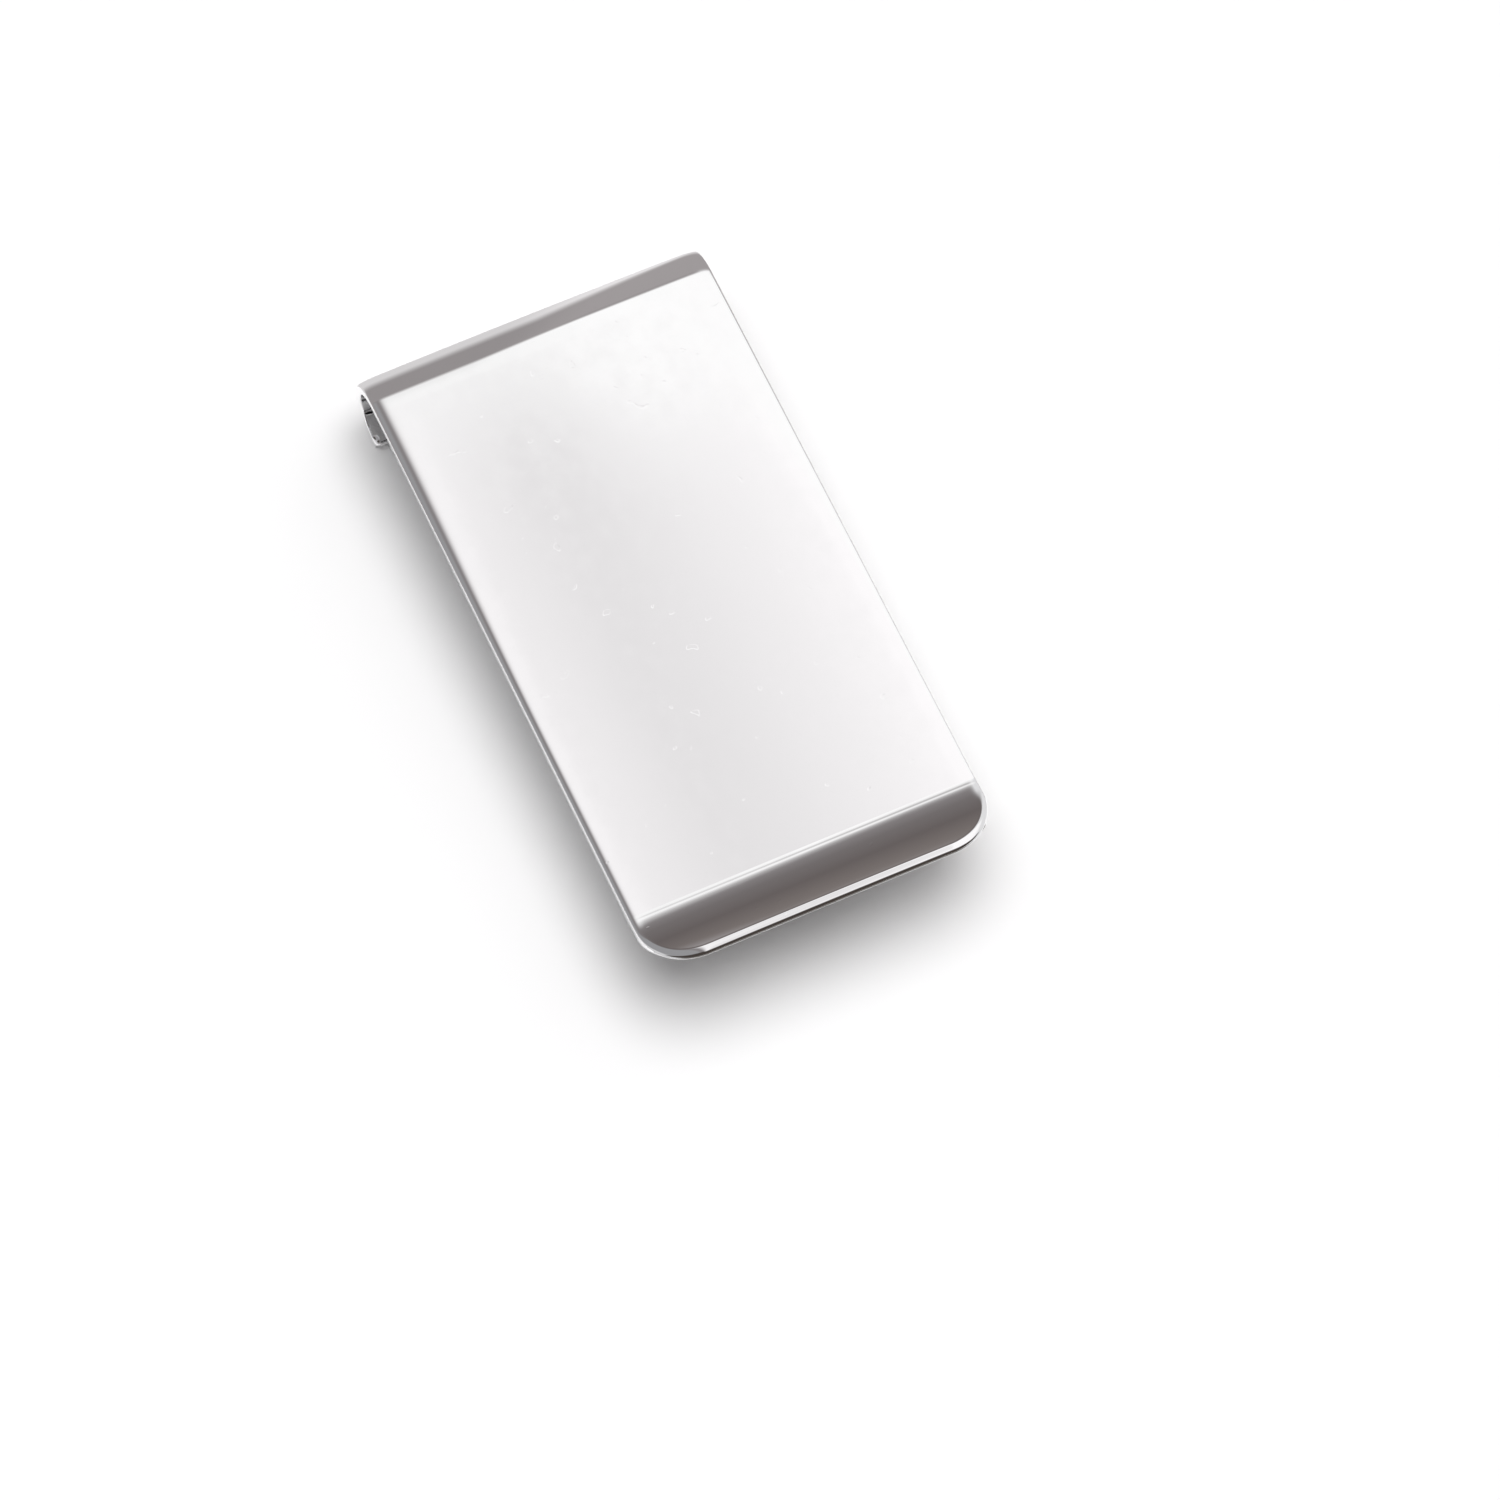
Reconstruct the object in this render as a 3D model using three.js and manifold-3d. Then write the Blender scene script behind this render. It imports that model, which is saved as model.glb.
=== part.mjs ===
// Spring-hinged money clip.
// Millimetres, +Z up. The clip lies on its back with the polished face up.
// X runs across the clip, Y along it: the flared lip is at -Y and the folded end at +Y.
// The origin is at the centre of the footprint, on the surface that the clip lies on.

import * as THREE from 'three';
import { mergeVertices } from 'three/addons/utils/BufferGeometryUtils.js';
import Module from 'manifold-3d';

const wasm = await Module();
wasm.setup();

const DEG = Math.PI / 180;

// ---------- driving dimensions ----------

const COVER_WIDTH = 25.4;
const COVER_LENGTH = 50.8;
const COVER_SHEET = 0.9;
const COVER_HEIGHT = 6.4; // top of the flat face above the surface it lies on
const BEND_RADIUS = COVER_HEIGHT / 2; // outside of the folded end
const BEND_SWEEP = 175 * DEG;

const LIP_LENGTH = 4.9; // crease to the tip of the rim, in plan
const LIP_START = 4 * DEG; // slope just outside the crease
const LIP_END = 24 * DEG; // slope at the rim
const LIP_CORNER = 3.8; // plan radius of the lip's two corners
const FOLD_CORNER = 0.4; // plan radius of the two corners at the folded end

const PIN_RADIUS = 0.55;
const PIN_DROP = 0.3; // how far the pin lies below the centre of the bend
const PIN_HEAD_RADIUS = 1.0;
const PIN_HEAD_THICKNESS = 0.45;
const FIXED_CLEARANCE = 0.03; // radial, where a piece is held on the pin
const RUNNING_CLEARANCE = 0.06; // radial, where a piece turns on the pin
const SIDE_PLAY = 0.05; // along the pin, between neighbours
const EYE_RADIUS = 1.25; // outside of every eye around the pin

const CRADLE_SHEET = 0.6;
const CRADLE_FILM = 0.04; // solder film between the cradle and the bend
const CRADLE_FROM = 80 * DEG; // around the bend, from the top
const CRADLE_TO = 140 * DEG;
const CRADLE_EAR_INNER = 7.5;
const CRADLE_EAR_OUTER = 8.2;

const WASHER_THICKNESS = 0.3;
const WASHER_RADIUS = 1.15;

const LEAF_SHEET = 0.8;
const LEAF_BACK_EDGE = 19.4; // y of the plate's edge next to the hinge
const LEAF_CREST_Y = -10.8; // y of the line where the leaf grips
const LEAF_CREST_RADIUS = 8;
const LEAF_RISE = 4.6 * DEG; // slope from the hinge up to the crest
const LEAF_FLARE = 32 * DEG; // slope from the crest down to the foot
const LEAF_FOOT_RADIUS = 2.5;
const LEAF_CORNER = 2.6; // plan radius of the two corners at the foot
const LEAF_EAR_LENGTH = 6.2; // from the pin to the ear's root on the plate
const GRIP_GAP = 0.02; // between the crest and the underside of the cover

const WIRE_RADIUS = 0.275;
const COIL_RADIUS = 0.95; // to the middle of the wire
const COIL_PITCH = 0.6;
const COIL_TURNS = 8.25;
const COIL_START = 7.1; // distance of the outer turn from the middle of the clip
const TANG_BEND = 0.4; // radius of the wire's bend from the tang into the coil
const TANG_REACH = 7.95; // distance of the tang's end from the middle of the clip
const TANG_OFFSET = 1.2; // distance of the tang from the pin's axis
const TANG_HOLE_RADIUS = 0.3;
const SPRING_ARM_END = 15.5; // y of the free end of the arm under the leaf

const SLEEVE_HALF_LENGTH = 1.7;
const SLEEVE_RADIUS = 0.9;

// ---------- places worked out from them ----------

const COVER_BACK = COVER_LENGTH / 2;
const CREASE_Y = LIP_LENGTH - COVER_LENGTH / 2;
const BEND_Y = COVER_BACK - BEND_RADIUS;
const BEND_Z = COVER_HEIGHT - BEND_RADIUS;
const BEND_INNER = BEND_RADIUS - COVER_SHEET;
const UNDERSIDE = COVER_HEIGHT - COVER_SHEET;
const PIN_Y = BEND_Y;
const PIN_Z = BEND_Z - PIN_DROP;
const WASHER_INNER = CRADLE_EAR_OUTER + SIDE_PLAY;
const LEAF_EAR_INNER = WASHER_INNER + WASHER_THICKNESS + SIDE_PLAY;
const LEAF_EAR_OUTER = LEAF_EAR_INNER + LEAF_SHEET;
const PIN_HALF_LENGTH = LEAF_EAR_OUTER + SIDE_PLAY;

// ---------- materials ----------

const polishedSilver = { color: 0xe6e6e8, roughness: 0.06, metalness: 1 };
const platedSteel = { color: 0xc9cacc, roughness: 0.22, metalness: 1 };
const springSteel = { color: 0x9c9da0, roughness: 0.35, metalness: 1 };
const brass = { color: 0xc9a256, roughness: 0.3, metalness: 1 };

// ---------- geometry helpers ----------

// A profile drawn as (y, z) is extruded along X between two places.
function extrudeAlongX(shape, fromX, toX) {
  const geometry = new THREE.ExtrudeGeometry(shape, { depth: toX - fromX, bevelEnabled: false });
  const axes = new THREE.Matrix4().makeBasis(
    new THREE.Vector3(0, 1, 0),
    new THREE.Vector3(0, 0, 1),
    new THREE.Vector3(1, 0, 0),
  );
  geometry.applyMatrix4(axes);
  geometry.translate(fromX, 0, 0);
  return geometry;
}

// A plan outline drawn as (x, y) is extruded upwards between two heights.
function extrudeUp(shape, fromZ, toZ) {
  const geometry = new THREE.ExtrudeGeometry(shape, { depth: toZ - fromZ, bevelEnabled: false });
  geometry.translate(0, 0, fromZ);
  return geometry;
}

// A lathe profile drawn as (radius, distance) is turned about the pin's axis.
function turnOnPin(points, segments = 32) {
  const geometry = new THREE.LatheGeometry(points, segments);
  geometry.rotateZ(-Math.PI / 2);
  geometry.translate(0, PIN_Y, PIN_Z);
  return geometry;
}

function toSolid(geometry) {
  const bare = geometry.clone();
  bare.deleteAttribute('normal');
  bare.deleteAttribute('uv');
  const merged = mergeVertices(bare, 1e-4);
  return new wasm.Manifold(
    new wasm.Mesh({
      numProp: 3,
      vertProperties: new Float32Array(merged.attributes.position.array),
      triVerts: new Uint32Array(merged.index.array),
    }),
  );
}

function toGeometry(solid) {
  const mesh = solid.getMesh();
  const geometry = new THREE.BufferGeometry();
  geometry.setAttribute('position', new THREE.BufferAttribute(new Float32Array(mesh.vertProperties), 3));
  geometry.setIndex(new THREE.BufferAttribute(new Uint32Array(mesh.triVerts), 1));
  geometry.computeVertexNormals();
  return geometry;
}

function makePiece(name, geometry, look) {
  const mesh = new THREE.Mesh(geometry, new THREE.MeshStandardMaterial(look));
  mesh.name = name;
  return mesh;
}

// Points of an arc with their directions from the centre; angles run from +Y towards +Z.
function arc(centreY, centreZ, radius, fromAngle, toAngle, steps) {
  const points = [];
  for (let i = 0; i <= steps; i += 1) {
    const angle = fromAngle + ((toAngle - fromAngle) * i) / steps;
    points.push(new THREE.Vector2(centreY + radius * Math.cos(angle), centreZ + radius * Math.sin(angle)));
  }
  return points;
}

// A bent sheet is a list of points on its upper face, each with its slope.
// heading is the direction of travel from +Y towards +Z; the sheet hangs below the upper face.
function sheetStation(y, z, heading) {
  return { y, z, heading };
}

function below(station, depth) {
  return new THREE.Vector2(
    station.y + depth * Math.sin(station.heading),
    station.z - depth * Math.cos(station.heading),
  );
}

// The sheet's outline: along the upper face, round the far end, back below, and round the near end.
function sheetOutline(stations, thickness, roundSteps = 6) {
  const first = stations[0];
  const last = stations[stations.length - 1];
  const half = thickness / 2;
  const upper = stations.map((station) => below(station, 0));
  const lower = stations.map((station) => below(station, thickness)).reverse();
  const farCentre = below(last, half);
  const nearCentre = below(first, half);
  const up = Math.PI / 2;
  const farEnd = arc(farCentre.x, farCentre.y, half, last.heading + up, last.heading - up, roundSteps);
  const nearEnd = arc(nearCentre.x, nearCentre.y, half, first.heading - up, first.heading - 3 * up, roundSteps);
  return new THREE.Shape([...upper, ...farEnd.slice(1, -1), ...lower, ...nearEnd.slice(1, -1)]);
}

// Stations along a bend that starts at a station and turns by a signed angle.
function bendFrom(start, radius, turn, steps) {
  const side = Math.sign(turn);
  const centreY = start.y - side * radius * Math.sin(start.heading);
  const centreZ = start.z + side * radius * Math.cos(start.heading);
  const stations = [];
  for (let i = 1; i <= steps; i += 1) {
    const heading = start.heading + (turn * i) / steps;
    stations.push(
      sheetStation(centreY + side * radius * Math.sin(heading), centreZ - side * radius * Math.cos(heading), heading),
    );
  }
  return stations;
}

function straightFrom(start, length) {
  return sheetStation(
    start.y + length * Math.cos(start.heading),
    start.z + length * Math.sin(start.heading),
    start.heading,
  );
}

// ---------- front cover ----------

// The lip's upper face is an arc that climbs from the crease to the rim.
function lipStations(steps) {
  const rimOverhang = (COVER_SHEET / 2) * (1 + Math.sin(LIP_END));
  const faceLength = LIP_LENGTH - rimOverhang;
  const radius = faceLength / (Math.sin(LIP_END) - Math.sin(LIP_START));
  const stations = [];
  for (let i = 0; i <= steps; i += 1) {
    const slope = LIP_END + ((LIP_START - LIP_END) * i) / steps;
    stations.push(
      sheetStation(
        CREASE_Y - radius * (Math.sin(slope) - Math.sin(LIP_START)),
        COVER_HEIGHT + radius * (Math.cos(LIP_START) - Math.cos(slope)),
        -slope,
      ),
    );
  }
  return stations;
}

// Seen from above: a rectangle with two large corners on the lip and two small ones on the fold.
function coverPlan() {
  const half = COVER_WIDTH / 2;
  const front = -COVER_LENGTH / 2;
  const plan = new THREE.Shape();
  plan.moveTo(-half + LIP_CORNER, front);
  plan.lineTo(half - LIP_CORNER, front);
  plan.absarc(half - LIP_CORNER, front + LIP_CORNER, LIP_CORNER, -Math.PI / 2, 0, false);
  plan.lineTo(half, COVER_BACK - FOLD_CORNER);
  plan.absarc(half - FOLD_CORNER, COVER_BACK - FOLD_CORNER, FOLD_CORNER, 0, Math.PI / 2, false);
  plan.lineTo(-half + FOLD_CORNER, COVER_BACK);
  plan.absarc(-half + FOLD_CORNER, COVER_BACK - FOLD_CORNER, FOLD_CORNER, Math.PI / 2, Math.PI, false);
  plan.lineTo(-half, front + LIP_CORNER);
  plan.absarc(-half + LIP_CORNER, front + LIP_CORNER, LIP_CORNER, Math.PI, 1.5 * Math.PI, false);
  return plan;
}

function makeFrontCover() {
  const bendStart = sheetStation(BEND_Y, COVER_HEIGHT, 0);
  const stations = [...lipStations(8), bendStart, ...bendFrom(bendStart, BEND_RADIUS, -BEND_SWEEP, 22)];
  const strip = toSolid(
    extrudeAlongX(sheetOutline(stations, COVER_SHEET), -COVER_WIDTH, COVER_WIDTH),
  );
  const plan = toSolid(extrudeUp(coverPlan(), -1, 2 * COVER_HEIGHT));
  return makePiece('front_cover', toGeometry(strip.intersect(plan)), polishedSilver);
}

// ---------- hinge cradle, soldered inside the bend ----------

// Angles around the bend are stated from its top; arc() measures from +Y.
function aroundBend(angle) {
  return Math.PI / 2 - angle;
}

function addRoundHole(shape, y, z, radius) {
  const hole = new THREE.Path();
  hole.absarc(y, z, radius, 0, 2 * Math.PI, true);
  shape.holes.push(hole);
}

function cradleBack() {
  const outer = BEND_INNER - CRADLE_FILM;
  const inner = outer - CRADLE_SHEET;
  const from = aroundBend(CRADLE_FROM);
  const to = aroundBend(CRADLE_TO);
  return new THREE.Shape([
    ...arc(BEND_Y, BEND_Z, outer, from, to, 10),
    ...arc(BEND_Y, BEND_Z, inner, to, from, 10),
  ]);
}

function cradleEar() {
  const reach = BEND_INNER - CRADLE_FILM - CRADLE_SHEET / 2;
  const ear = new THREE.Shape([
    ...arc(PIN_Y, PIN_Z, EYE_RADIUS, Math.PI / 2, 1.5 * Math.PI, 14),
    ...arc(BEND_Y, BEND_Z, reach, aroundBend(CRADLE_TO), aroundBend(CRADLE_FROM), 10),
  ]);
  addRoundHole(ear, PIN_Y, PIN_Z, PIN_RADIUS + FIXED_CLEARANCE);
  addRoundHole(ear, PIN_Y + TANG_OFFSET, PIN_Z, TANG_HOLE_RADIUS);
  return ear;
}

function makeHingeCradle() {
  const back = toSolid(extrudeAlongX(cradleBack(), -CRADLE_EAR_OUTER, CRADLE_EAR_OUTER));
  const right = toSolid(extrudeAlongX(cradleEar(), CRADLE_EAR_INNER, CRADLE_EAR_OUTER));
  const left = toSolid(extrudeAlongX(cradleEar(), -CRADLE_EAR_OUTER, -CRADLE_EAR_INNER));
  return makePiece('hinge_cradle', toGeometry(back.add(right).add(left)), platedSteel);
}

// ---------- clamp leaf ----------

// Upper face of the leaf from the foot, over the crest, to the edge next to the hinge.
function leafStations() {
  const crest = sheetStation(LEAF_CREST_Y, UNDERSIDE - GRIP_GAP, 0);
  const riseBend = bendFrom(crest, LEAF_CREST_RADIUS, -LEAF_RISE, 3);
  const riseStart = riseBend[riseBend.length - 1];
  const backEdge = straightFrom(riseStart, (LEAF_BACK_EDGE - riseStart.y) / Math.cos(LEAF_RISE));

  // The flare is walked away from the crest, so its headings are turned back by half a turn.
  const crestDrop = LEAF_CREST_RADIUS * (1 - Math.cos(LEAF_FLARE));
  const footDrop = LEAF_FOOT_RADIUS * (1 - Math.cos(LEAF_FLARE));
  const flareDrop = crest.z - LEAF_SHEET - crestDrop - footDrop;
  const crestRun = LEAF_CREST_RADIUS * Math.sin(LEAF_FLARE);
  const flareRun = flareDrop / Math.tan(LEAF_FLARE);
  const footRun = LEAF_FOOT_RADIUS * Math.sin(LEAF_FLARE);
  const foot = sheetStation(LEAF_CREST_Y - crestRun - flareRun - footRun, LEAF_SHEET, 0);
  const footBend = bendFrom(foot, LEAF_FOOT_RADIUS, LEAF_FLARE, 5);
  const flareEnd = sheetStation(LEAF_CREST_Y - crestRun, crest.z - crestDrop, LEAF_FLARE);
  const crestBend = bendFrom(flareEnd, LEAF_CREST_RADIUS, -LEAF_FLARE, 7);
  return [foot, ...footBend, flareEnd, ...crestBend, ...riseBend, backEdge];
}

function leafPlan(footY) {
  const end = footY - LEAF_SHEET;
  const plan = new THREE.Shape();
  plan.moveTo(-LEAF_EAR_OUTER + LEAF_CORNER, end);
  plan.lineTo(LEAF_EAR_OUTER - LEAF_CORNER, end);
  plan.absarc(LEAF_EAR_OUTER - LEAF_CORNER, end + LEAF_CORNER, LEAF_CORNER, -Math.PI / 2, 0, false);
  plan.lineTo(LEAF_EAR_OUTER, LEAF_BACK_EDGE + 1);
  plan.lineTo(-LEAF_EAR_OUTER, LEAF_BACK_EDGE + 1);
  plan.lineTo(-LEAF_EAR_OUTER, end + LEAF_CORNER);
  plan.absarc(-LEAF_EAR_OUTER + LEAF_CORNER, end + LEAF_CORNER, LEAF_CORNER, Math.PI, 1.5 * Math.PI, false);
  return plan;
}

// An eye around the pin that tapers into the plate.
function leafEar(backEdge) {
  const rootY = PIN_Y - LEAF_EAR_LENGTH;
  const rootTop = backEdge.z + (LEAF_BACK_EDGE - rootY) * Math.tan(LEAF_RISE);
  const rootBottom = rootTop - LEAF_SHEET / Math.cos(LEAF_RISE);
  const ear = new THREE.Shape([
    ...arc(PIN_Y, PIN_Z, EYE_RADIUS, -Math.PI / 2, Math.PI / 2, 14),
    new THREE.Vector2(rootY, rootTop),
    new THREE.Vector2(rootY, rootBottom),
  ]);
  addRoundHole(ear, PIN_Y, PIN_Z, PIN_RADIUS + RUNNING_CLEARANCE);
  return ear;
}

function makeClampLeaf() {
  const stations = leafStations();
  const backEdge = stations[stations.length - 1];
  const strip = toSolid(extrudeAlongX(sheetOutline(stations, LEAF_SHEET), -COVER_WIDTH, COVER_WIDTH));
  const plan = toSolid(extrudeUp(leafPlan(stations[0].y), -1, COVER_HEIGHT));
  const right = toSolid(extrudeAlongX(leafEar(backEdge), LEAF_EAR_INNER, LEAF_EAR_OUTER));
  const left = toSolid(extrudeAlongX(leafEar(backEdge), -LEAF_EAR_OUTER, -LEAF_EAR_INNER));
  return makePiece('clamp_leaf', toGeometry(strip.intersect(plan).add(right).add(left)), platedSteel);
}

// ---------- pin, washers and sleeve ----------

function makeHingePin() {
  const rim = 0.3 * PIN_HEAD_THICKNESS;
  const domeHeight = PIN_HEAD_THICKNESS - rim;
  const half = [
    new THREE.Vector2(PIN_RADIUS, PIN_HALF_LENGTH),
    new THREE.Vector2(PIN_HEAD_RADIUS, PIN_HALF_LENGTH),
  ];
  const domeSteps = 6;
  for (let i = 0; i <= domeSteps; i += 1) {
    const angle = ((Math.PI / 2) * i) / domeSteps;
    const radius = i === domeSteps ? 0 : PIN_HEAD_RADIUS * Math.cos(angle);
    half.push(new THREE.Vector2(radius, PIN_HALF_LENGTH + rim + domeHeight * Math.sin(angle)));
  }
  const mirrored = half.map((point) => new THREE.Vector2(point.x, -point.y)).reverse();
  return makePiece('hinge_pin', turnOnPin([...mirrored, ...half]), platedSteel);
}

// A ring around the pin between two distances from the middle of the clip.
function ringOnPin(innerRadius, outerRadius, from, to) {
  return turnOnPin([
    new THREE.Vector2(innerRadius, from),
    new THREE.Vector2(outerRadius, from),
    new THREE.Vector2(outerRadius, to),
    new THREE.Vector2(innerRadius, to),
    new THREE.Vector2(innerRadius, from),
  ]);
}

function makeThrustWasher(name, side) {
  const near = side > 0 ? WASHER_INNER : -WASHER_INNER - WASHER_THICKNESS;
  const bore = PIN_RADIUS + RUNNING_CLEARANCE;
  return makePiece(name, ringOnPin(bore, WASHER_RADIUS, near, near + WASHER_THICKNESS), brass);
}

function makeSpacerSleeve() {
  const bore = PIN_RADIUS + RUNNING_CLEARANCE;
  const ring = ringOnPin(bore, SLEEVE_RADIUS, -SLEEVE_HALF_LENGTH, SLEEVE_HALF_LENGTH);
  return makePiece('spacer_sleeve', ring, brass);
}

// ---------- torsion springs ----------

// The wire starts as a tang in the cradle's ear, bends down into the coil, winds inwards
// round the pin, and leaves the coil's underside as an arm that runs below the leaf.
function springRoute(side) {
  const fromPin = (x, y, z) => new THREE.Vector3(side * x, PIN_Y + y, PIN_Z + z);
  const bendX = COIL_START + TANG_BEND;
  const points = [];
  points.push(fromPin(TANG_REACH, TANG_OFFSET, 0));
  points.push(fromPin((TANG_REACH + bendX) / 2, TANG_OFFSET, 0));

  const joinAngle = Math.asin(TANG_BEND / COIL_RADIUS);
  const joinY = COIL_RADIUS * Math.cos(joinAngle);
  const bendSteps = 4;
  for (let i = 0; i <= bendSteps; i += 1) {
    const angle = ((Math.PI / 2) * i) / bendSteps;
    const y = TANG_OFFSET + ((joinY - TANG_OFFSET) * i) / bendSteps;
    points.push(fromPin(bendX - TANG_BEND * Math.sin(angle), y, TANG_BEND * (Math.cos(angle) - 1)));
  }

  const stepsPerTurn = 16;
  for (let i = 2; i <= COIL_TURNS * stepsPerTurn; i += 1) {
    const turns = i / stepsPerTurn;
    const angle = -2 * Math.PI * turns;
    const x = COIL_START - COIL_PITCH * turns;
    points.push(fromPin(x, COIL_RADIUS * Math.cos(angle), COIL_RADIUS * Math.sin(angle)));
  }

  const armX = side * (COIL_START - COIL_PITCH * COIL_TURNS);
  const armSteps = 4;
  for (let i = 0; i <= armSteps; i += 1) {
    const y = LEAF_BACK_EDGE + ((SPRING_ARM_END - LEAF_BACK_EDGE) * i) / armSteps;
    points.push(new THREE.Vector3(armX, y, leafUnderside(y) - WIRE_RADIUS - GRIP_GAP));
  }
  return new THREE.CatmullRomCurve3(points, false, 'centripetal');
}

// Height of the leaf's lower face on its straight stretch.
function leafUnderside(y) {
  const stations = leafStations();
  const backEdge = stations[stations.length - 1];
  return backEdge.z + (LEAF_BACK_EDGE - y) * Math.tan(LEAF_RISE) - LEAF_SHEET / Math.cos(LEAF_RISE);
}

function makeTorsionSpring(name, side) {
  const section = new THREE.Shape();
  section.absarc(0, 0, WIRE_RADIUS, 0, 2 * Math.PI, false);
  const geometry = new THREE.ExtrudeGeometry(section, {
    curveSegments: 4,
    steps: 180,
    bevelEnabled: false,
    extrudePath: springRoute(side),
  });
  return makePiece(name, geometry, springSteel);
}

// ---------- assembly ----------

const clampBody = new THREE.Group();
clampBody.add(makeClampLeaf());
clampBody.add(makeTorsionSpring('torsion_spring_right', 1));
clampBody.add(makeTorsionSpring('torsion_spring_left', -1));

const coverBody = new THREE.Group();
coverBody.add(makeFrontCover());
coverBody.add(makeHingeCradle());
coverBody.add(makeHingePin());
coverBody.add(makeSpacerSleeve());
coverBody.add(makeThrustWasher('thrust_washer_right', 1));
coverBody.add(makeThrustWasher('thrust_washer_left', -1));

const clip = new THREE.Group();
clip.add(clampBody);
clip.add(coverBody);

export default clip;
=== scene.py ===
"""Looks, light and camera for the spring-hinged money clip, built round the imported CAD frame.

The frame is the CAD's: X across the clip, Y along it with the fold at +Y, Z up. Lengths here are in
millimetres, and MM turns them into the scene's metres. Node settings are in metres.
"""

import math

import bmesh
import bpy
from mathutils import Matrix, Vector


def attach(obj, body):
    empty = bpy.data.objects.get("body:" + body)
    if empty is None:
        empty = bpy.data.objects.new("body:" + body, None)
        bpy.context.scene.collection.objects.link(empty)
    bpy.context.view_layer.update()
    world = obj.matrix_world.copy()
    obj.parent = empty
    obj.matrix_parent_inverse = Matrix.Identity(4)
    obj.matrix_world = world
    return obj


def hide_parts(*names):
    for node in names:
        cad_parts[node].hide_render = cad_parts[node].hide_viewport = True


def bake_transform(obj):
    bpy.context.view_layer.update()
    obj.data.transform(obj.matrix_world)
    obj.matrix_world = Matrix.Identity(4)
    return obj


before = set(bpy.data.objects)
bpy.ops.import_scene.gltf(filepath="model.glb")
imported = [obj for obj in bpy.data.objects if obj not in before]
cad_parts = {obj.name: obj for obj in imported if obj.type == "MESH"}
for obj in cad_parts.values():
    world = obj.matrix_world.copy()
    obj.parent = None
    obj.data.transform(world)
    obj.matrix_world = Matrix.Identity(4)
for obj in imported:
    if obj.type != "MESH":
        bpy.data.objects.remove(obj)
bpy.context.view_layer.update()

MM = 0.001

# ---------- sizes, the same as in the CAD, in millimetres ----------

COVER_HALF_WIDTH = 12.7
COVER_HALF_LENGTH = 25.4
COVER_SHEET = 0.9
COVER_HEIGHT = 6.4
BEND_RADIUS = 3.2
BEND_SWEEP = math.radians(175)
LIP_LENGTH = 4.9
LIP_START = math.radians(4)
LIP_END = math.radians(24)
LIP_CORNER = 3.8
FOLD_CORNER = 0.4

PIN_Y = COVER_HALF_LENGTH - BEND_RADIUS
PIN_Z = COVER_HEIGHT - BEND_RADIUS - 0.3

LEAF_RISE = math.radians(4.6)
LEAF_BACK_EDGE = 19.4
LEAF_BACK_UNDERSIDE = 2.273  # height of the leaf's lower face at its back edge

WIRE_RADIUS = 0.275
COIL_RADIUS = 0.95
COIL_PITCH = 0.6
COIL_TURNS = 8.25
COIL_START = 7.1
TANG_BEND = 0.4
TANG_REACH = 7.95
TANG_OFFSET = 1.2
SPRING_ARM_END = 15.5
GRIP_GAP = 0.02
COIL_STEPS = 44  # points in a turn
COIL_FIRST_STEP = 5  # where the bend from the tang has joined the coil
WIRE_END = ((0.0, 0.5), (0.06, 0.85), (0.2, 1.0))  # (inset, size) of its rings, in wire radii

PIN_RADIUS = 0.55
PIN_HALF_LENGTH = 9.45  # to the underside of a head
PIN_HEAD_RADIUS = 1.0
PIN_HEAD_RIM = 0.135
PIN_HEAD_DOME = 0.315
TURNED_BORE = 0.61  # radius of the holes in the washers and the sleeve
WASHER_RADIUS = 1.15
WASHER_INNER = 8.25
WASHER_OUTER = 8.55
SLEEVE_RADIUS = 0.9
SLEEVE_HALF_LENGTH = 1.7

CORNER_BREAK = 0.1  # how far the corners of the pressed pieces are broken
TURNED_BREAK = 0.05
SHARP_ANGLE = math.radians(50)  # edges of turned pieces steeper than this stay sharp

# ---------- looks of the cover's edges, in millimetres ----------
# The rounding, the buffing, the crown and the ridge are not measured shapes. They were chosen,
# together with the light, so that the mirror shows bands like the photograph's.

HALF_SHEET = COVER_SHEET / 2
EDGE_ROUND = 0.12  # radius of the long edges
RIM_ROUND = 0.7  # radius of the two ends, which meets the faces at a slight angle
RIM_BREAK = math.radians(20)
BUFF_SLOPE = 0.33  # slope that buffing has given the face at its very edge
BUFF_REACH = (0.24, 0.44)  # how far in that slope fades, at the lip and at the fold
BUFF_CHANGE = (0.4, 0.95)  # shares of the way to the fold between which its reach changes
CROWN = 0.06  # how far the face falls from its middle to its long edges
END_GAIN = 1.6  # how quickly the round end takes over from the long edge's shape
CREASE_WIDTH = 0.26  # length over which the crease is eased
RIDGE_HEIGHT = 0.002  # the fine line that the press leaves where the lip starts
RIDGE_PLACE = 0.3
RIDGE_WIDTH = 0.1
RIDGE_ZONE = 0.6  # length of lip with finer rows, for that line
END_ZONE = 0.1  # end of the bend that is meshed together with the strip's end
ROUND_ZONE = 0.42  # width of the columns that follow a rounded edge
COLUMN_INSETS = [0.5, 0.6, 0.72, 0.86, 1.05, 1.3, 1.65, 2.1, 2.7]  # further columns, ever wider apart
TIP_THICKNESS = 1e-4  # half thickness below which both faces share their vertices


# ---------- small helpers ----------


def new_mesh_object(name, vertices, faces):
    """An object in the scene, from vertices in millimetres."""
    mesh = bpy.data.meshes.new(name)
    mesh.from_pydata([Vector(v) * MM for v in vertices], [], faces)
    mesh.validate()
    mesh.update()
    made = bpy.data.objects.new(name, mesh)
    bpy.context.scene.collection.objects.link(made)
    return made


def spread(low, high, count):
    """count + 1 evenly spaced numbers from low to high."""
    return [low + (high - low) * i / count for i in range(count + 1)]


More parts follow.
